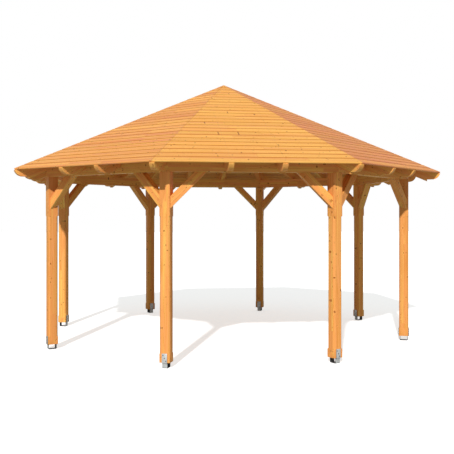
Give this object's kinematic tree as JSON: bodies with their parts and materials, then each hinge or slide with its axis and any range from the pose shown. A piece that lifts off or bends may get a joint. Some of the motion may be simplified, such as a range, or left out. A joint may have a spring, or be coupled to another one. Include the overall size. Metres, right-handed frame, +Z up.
{
  "type": "garden gazebo",
  "caption": "Open octagonal timber garden gazebo: chamfered posts on steel strap feet, mitred plates, braces and a low boarded pyramid roof.",
  "frame": {"origin": "on the ground at the middle of the plan, where the vertical centre line meets the undersides of the post feet", "axes": "+Z up along the centre line; -Y faces out of bay 1 and +X out of bay 3"},
  "size_m": [5.5092, 5.5092, 3.5315],
  "materials": {
    "frame_timber": "satin",
    "roof_boards": "satin",
    "foot_steel": "galvanised"
  },
  "bodies": {
    "root": {"post_1": "frame_timber", "post_2": "frame_timber", "post_3": "frame_timber", "post_4": "frame_timber", "post_5": "frame_timber", "post_6": "frame_timber", "post_7": "frame_timber", "post_8": "frame_timber", "post_feet": "foot_steel", "wall_plate_1": "frame_timber", "wall_plate_2": "frame_timber", "wall_plate_3": "frame_timber", "wall_plate_4": "frame_timber", "wall_plate_5": "frame_timber", "wall_plate_6": "frame_timber", "wall_plate_7": "frame_timber", "wall_plate_8": "frame_timber", "braces_1": "frame_timber", "braces_2": "frame_timber", "braces_3": "frame_timber", "braces_4": "frame_timber", "braces_5": "frame_timber", "braces_6": "frame_timber", "braces_7": "frame_timber", "braces_8": "frame_timber", "hip_rafter_1": "frame_timber", "hip_rafter_2": "frame_timber", "hip_rafter_3": "frame_timber", "hip_rafter_4": "frame_timber", "hip_rafter_5": "frame_timber", "hip_rafter_6": "frame_timber", "hip_rafter_7": "frame_timber", "hip_rafter_8": "frame_timber", "jack_rafters": "frame_timber", "king_block": "frame_timber", "roof_panel_1": "roof_boards", "roof_panel_2": "roof_boards", "roof_panel_3": "roof_boards", "roof_panel_4": "roof_boards", "roof_panel_5": "roof_boards", "roof_panel_6": "roof_boards", "roof_panel_7": "roof_boards", "roof_panel_8": "roof_boards"}
  },
  "joints": []
}
